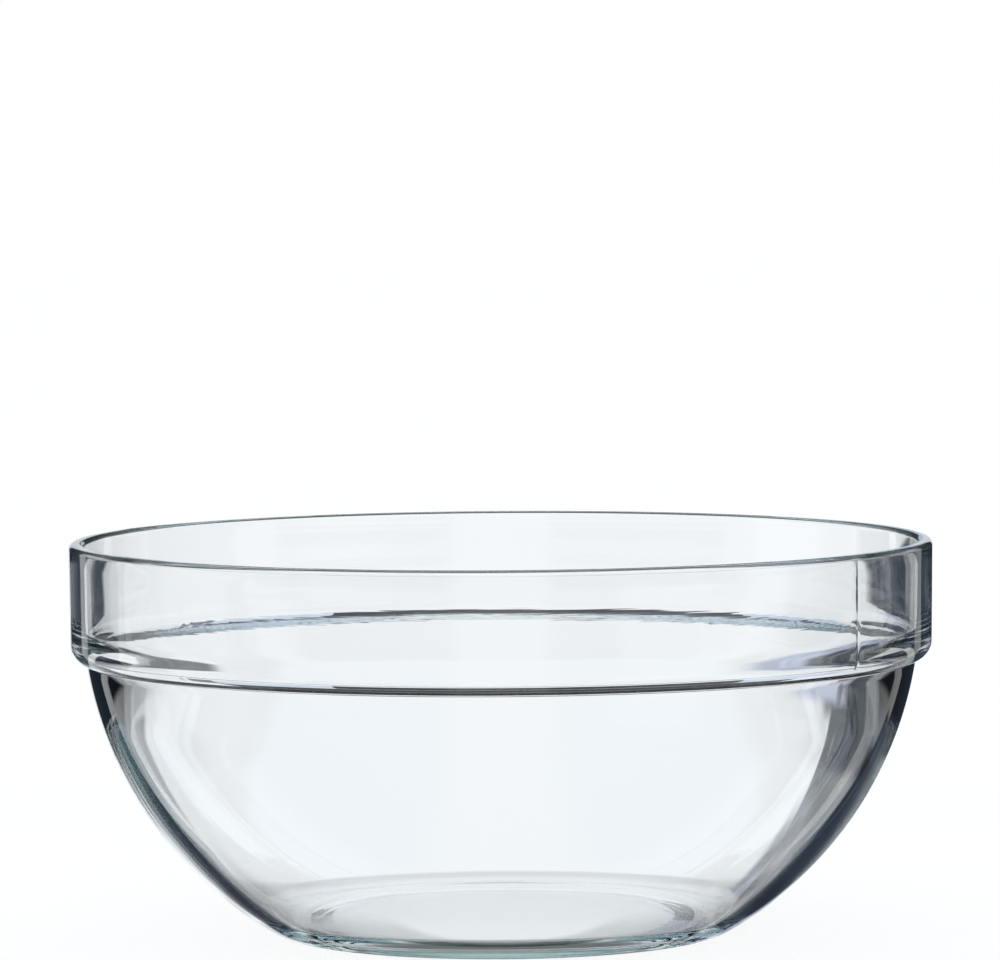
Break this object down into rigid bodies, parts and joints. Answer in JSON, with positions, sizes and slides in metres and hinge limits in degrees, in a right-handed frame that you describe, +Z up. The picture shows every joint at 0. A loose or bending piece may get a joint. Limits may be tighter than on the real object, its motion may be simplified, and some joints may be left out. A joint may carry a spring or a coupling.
{
  "type": "stacking serving bowl",
  "caption": "Round clear pressed-glass serving bowl with a straight collar that overhangs as a stacking step, a soft inner shoulder behind it, a round wall and a low standing ring.",
  "frame": {"origin": "centre of the standing ring, on the table plane", "axes": "+Z up along the bowl's axis; the bowl is round, so X and Y are free, and the picture looks along +Y"},
  "size_m": [0.2304, 0.2304, 0.1057],
  "materials": {
    "clear_glass": "clear, fire-polished"
  },
  "bodies": {
    "root": {"glass_bowl": "clear_glass"}
  },
  "joints": []
}
